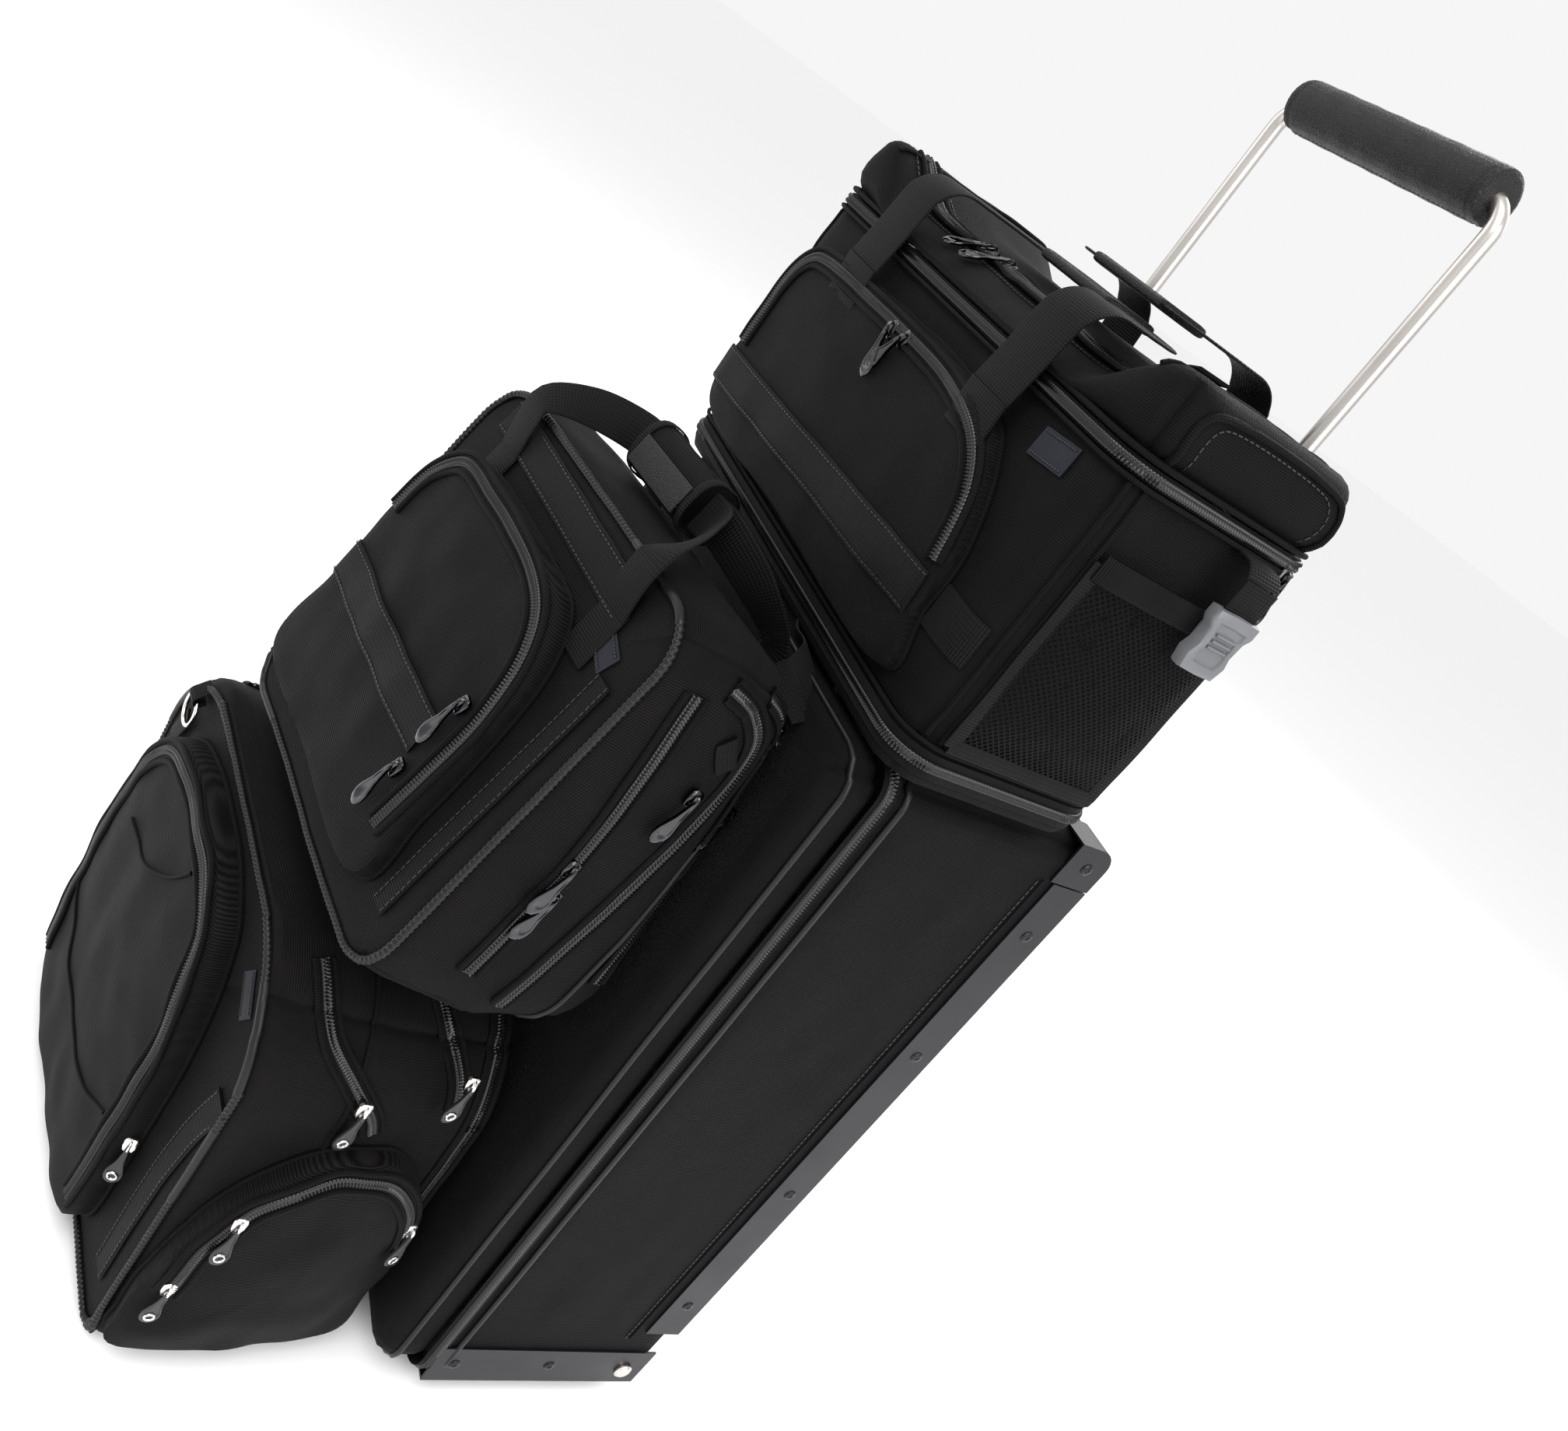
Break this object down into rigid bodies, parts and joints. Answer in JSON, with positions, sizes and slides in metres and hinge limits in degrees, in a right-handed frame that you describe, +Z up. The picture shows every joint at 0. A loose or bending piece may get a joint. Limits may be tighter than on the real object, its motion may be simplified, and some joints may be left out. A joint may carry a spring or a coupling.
{
  "type": "flight crew luggage set",
  "caption": "Wheeled flight bag with a telescoping pull handle, carrying a cooler tote on top and a brief bag and backpack strapped to its front.",
  "frame": {"origin": "middle of the whole set's footprint, on the floor", "axes": "+Z up, -Y is the bags' front, +X is the right-hand side seen from the front"},
  "size_m": [0.4232, 0.4414, 0.9628],
  "materials": {
    "nylon": "matte ballistic weave",
    "webbing": "ribbed webbing",
    "mesh": "open mesh",
    "leather": "satin",
    "piping": "satin ribbed",
    "zip": "coil zip",
    "rubber": "matte",
    "black_plastic": "satin",
    "grey_plastic": "satin",
    "black_steel": "satin black",
    "dark_metal": "gloss",
    "steel": "brushed"
  },
  "bodies": {
    "case": {"axle_left": "steel", "axle_right": "steel", "bottom_rail_left": "black_steel", "bottom_rail_right": "black_steel", "case_cover": "nylon", "case_shell": "nylon", "channel_left": "black_steel", "channel_right": "black_steel", "corner_bracket_left": "black_steel", "corner_bracket_right": "black_steel", "foot_left": "rubber", "foot_right": "rubber", "guide_tube_left": "steel", "guide_tube_right": "steel", "rod_collar_left": "black_plastic", "rod_collar_right": "black_plastic", "wheel_housing_left": "black_plastic", "wheel_housing_right": "black_plastic"},
    "handle": {"pull_handle": "steel", "grip_wrap": "nylon"},
    "wheel_right": {"tyre_right": "rubber", "hub_right": "grey_plastic"},
    "wheel_left": {"tyre_left": "rubber", "hub_left": "grey_plastic"},
    "tote": {"tote_base": "nylon", "tote_tub": "nylon", "tote_rim": "zip", "tote_front_pocket": "nylon", "tote_mesh_pocket": "mesh"},
    "lid": {"tote_lid": "nylon"},
    "tote_handle_front": {"tote_handle_front": "webbing", "tote_grip_patch": "leather"},
    "tote_handle_back": {"tote_handle_back": "webbing"},
    "buckle": {"buckle_strap": "webbing", "side_buckle": "grey_plastic"},
    "brief": {"brief_body": "nylon", "brief_front_pocket": "nylon", "brief_handle_back": "webbing", "brief_handle_front": "webbing", "brief_handle_wrap": "leather", "brief_piping": "piping"},
    "pack": {"pack_body": "nylon", "pack_dring": "dark_metal", "pack_front_pocket": "nylon", "pack_piping": "piping", "pack_side_pocket_left": "nylon", "pack_side_pocket_right": "nylon"},
    "tote_pull_pocket": {"tote_pull_pocket": "dark_metal"},
    "tote_pull_rim": {"tote_pull_rim": "dark_metal"},
    "lid_pull_a": {"lid_pull_a": "dark_metal"},
    "lid_pull_b": {"lid_pull_b": "dark_metal"},
    "brief_pull_front_a": {"brief_pull_front_a": "dark_metal"},
    "brief_pull_front_b": {"brief_pull_front_b": "dark_metal"},
    "brief_pull_side_a": {"brief_pull_side_a": "dark_metal"},
    "brief_pull_side_b": {"brief_pull_side_b": "dark_metal"},
    "pack_pull_front_a": {"pack_pull_front_a": "black_plastic"},
    "pack_pull_side_a": {"pack_pull_side_a": "black_plastic"},
    "pack_pull_side_b": {"pack_pull_side_b": "black_plastic"},
    "pack_pull_side_c": {"pack_pull_side_c": "black_plastic"}
  },
  "joints": [
    {"name": "handle_telescope", "type": "slide", "parent": "case", "child": "handle", "axis": [0, 0, 1], "range_m": [-0.365, 0]},
    {"name": "wheel_spin_right", "type": "hinge", "parent": "case", "child": "wheel_right", "pos_m": [0.14227, 0.18872, 0.032], "axis": [1, 0, 0], "continuous": true},
    {"name": "wheel_spin_left", "type": "hinge", "parent": "case", "child": "wheel_left", "pos_m": [-0.13773, 0.18872, 0.032], "axis": [1, 0, 0], "continuous": true},
    {"name": "tote_lift", "type": "slide", "parent": "case", "child": "tote", "axis": [0, 0, 1], "range_m": [0, 0.1]},
    {"name": "tote_handle_front_swing", "type": "hinge", "parent": "tote", "child": "tote_handle_front", "pos_m": [0.00227, 0.00372, 0.73], "axis": [1, 0, 0], "range_deg": [0, 100]},
    {"name": "lid_hinge", "type": "hinge", "parent": "tote", "child": "lid", "pos_m": [0.00277, 0.16222, 0.7546], "axis": [-1, 0, 0], "range_deg": [0, 55]},
    {"name": "tote_handle_back_swing", "type": "hinge", "parent": "tote", "child": "tote_handle_back", "pos_m": [0.00227, 0.17772, 0.73], "axis": [-1, 0, 0], "range_deg": [0, 80]},
    {"name": "buckle_swing", "type": "hinge", "parent": "tote", "child": "buckle", "pos_m": [0.20657, 0.11572, 0.736], "axis": [0, -1, 0], "range_deg": [0, 85]},
    {"name": "brief_lift_off", "type": "slide", "parent": "case", "child": "brief", "axis": [0, -0.5, 0.866], "range_m": [0, 0.12]},
    {"name": "pack_lift_off", "type": "slide", "parent": "case", "child": "pack", "axis": [0, -1, 0], "range_m": [0, 0.12]},
    {"name": "tote_pull_pocket_swing", "type": "hinge", "parent": "tote", "child": "tote_pull_pocket", "pos_m": [-0.01773, 0.00072, 0.716], "axis": [-0.9701, 0, -0.2425], "range_deg": [0, 100]},
    {"name": "tote_pull_rim_swing", "type": "hinge", "parent": "tote", "child": "tote_pull_rim", "pos_m": [0.19187, 0.14372, 0.742], "axis": [0, -1, 0], "range_deg": [0, 100]},
    {"name": "lid_pull_a_swing", "type": "hinge", "parent": "lid", "child": "lid_pull_a", "pos_m": [-0.05023, 0.04772, 0.78024], "axis": [-0.9929, 0.1088, 0.049], "range_deg": [0, 100]},
    {"name": "lid_pull_b_swing", "type": "hinge", "parent": "lid", "child": "lid_pull_b", "pos_m": [-0.02723, 0.04772, 0.78024], "axis": [-0.9805, 0.1791, 0.0807], "range_deg": [0, 100]},
    {"name": "brief_pull_front_a_swing", "type": "hinge", "parent": "brief", "child": "brief_pull_front_a", "pos_m": [0.09071, -0.15044, 0.46494], "axis": [-0.9944, -0.0965, 0.044], "range_deg": [0, 100]},
    {"name": "brief_pull_front_b_swing", "type": "hinge", "parent": "brief", "child": "brief_pull_front_b", "pos_m": [0.09073, -0.16305, 0.41742], "axis": [-0.9944, -0.0965, 0.044], "range_deg": [0, 100]},
    {"name": "brief_pull_side_a_swing", "type": "hinge", "parent": "brief", "child": "brief_pull_side_a", "pos_m": [0.16736, -0.08524, 0.43812], "axis": [0.0959, -0.9319, 0.3499], "range_deg": [0, 100]},
    {"name": "brief_pull_side_b_swing", "type": "hinge", "parent": "brief", "child": "brief_pull_side_b", "pos_m": [0.15935, -0.04417, 0.49425], "axis": [0.0959, -0.9319, 0.3499], "range_deg": [0, 100]},
    {"name": "pack_pull_front_a_swing", "type": "hinge", "parent": "pack", "child": "pack_pull_front_a", "pos_m": [0.10482, -0.18324, 0.118], "axis": [-0.3414, -0.9399, 0], "range_deg": [0, 100]},
    {"name": "pack_pull_side_a_swing", "type": "hinge", "parent": "pack", "child": "pack_pull_side_a", "pos_m": [0.16004, -0.09933, 0.236], "axis": [0.1144, -0.9884, 0.0995], "range_deg": [0, 100]},
    {"name": "pack_pull_side_b_swing", "type": "hinge", "parent": "pack", "child": "pack_pull_side_b", "pos_m": [0.15383, -0.04569, 0.262], "axis": [0.1144, -0.9884, 0.0995], "range_deg": [0, 100]},
    {"name": "pack_pull_side_c_swing", "type": "hinge", "parent": "pack", "child": "pack_pull_side_c", "pos_m": [0.14639, -0.01182, 0.112], "axis": [0.1149, -0.9934, 0], "range_deg": [0, 100]}
  ],
  "couplings": [
    {"joint": "lid_hinge", "follows": "tote_handle_front_swing", "ratio": 0.55},
    {"joint": "tote_handle_back_swing", "follows": "tote_handle_front_swing", "ratio": 0.8}
  ]
}
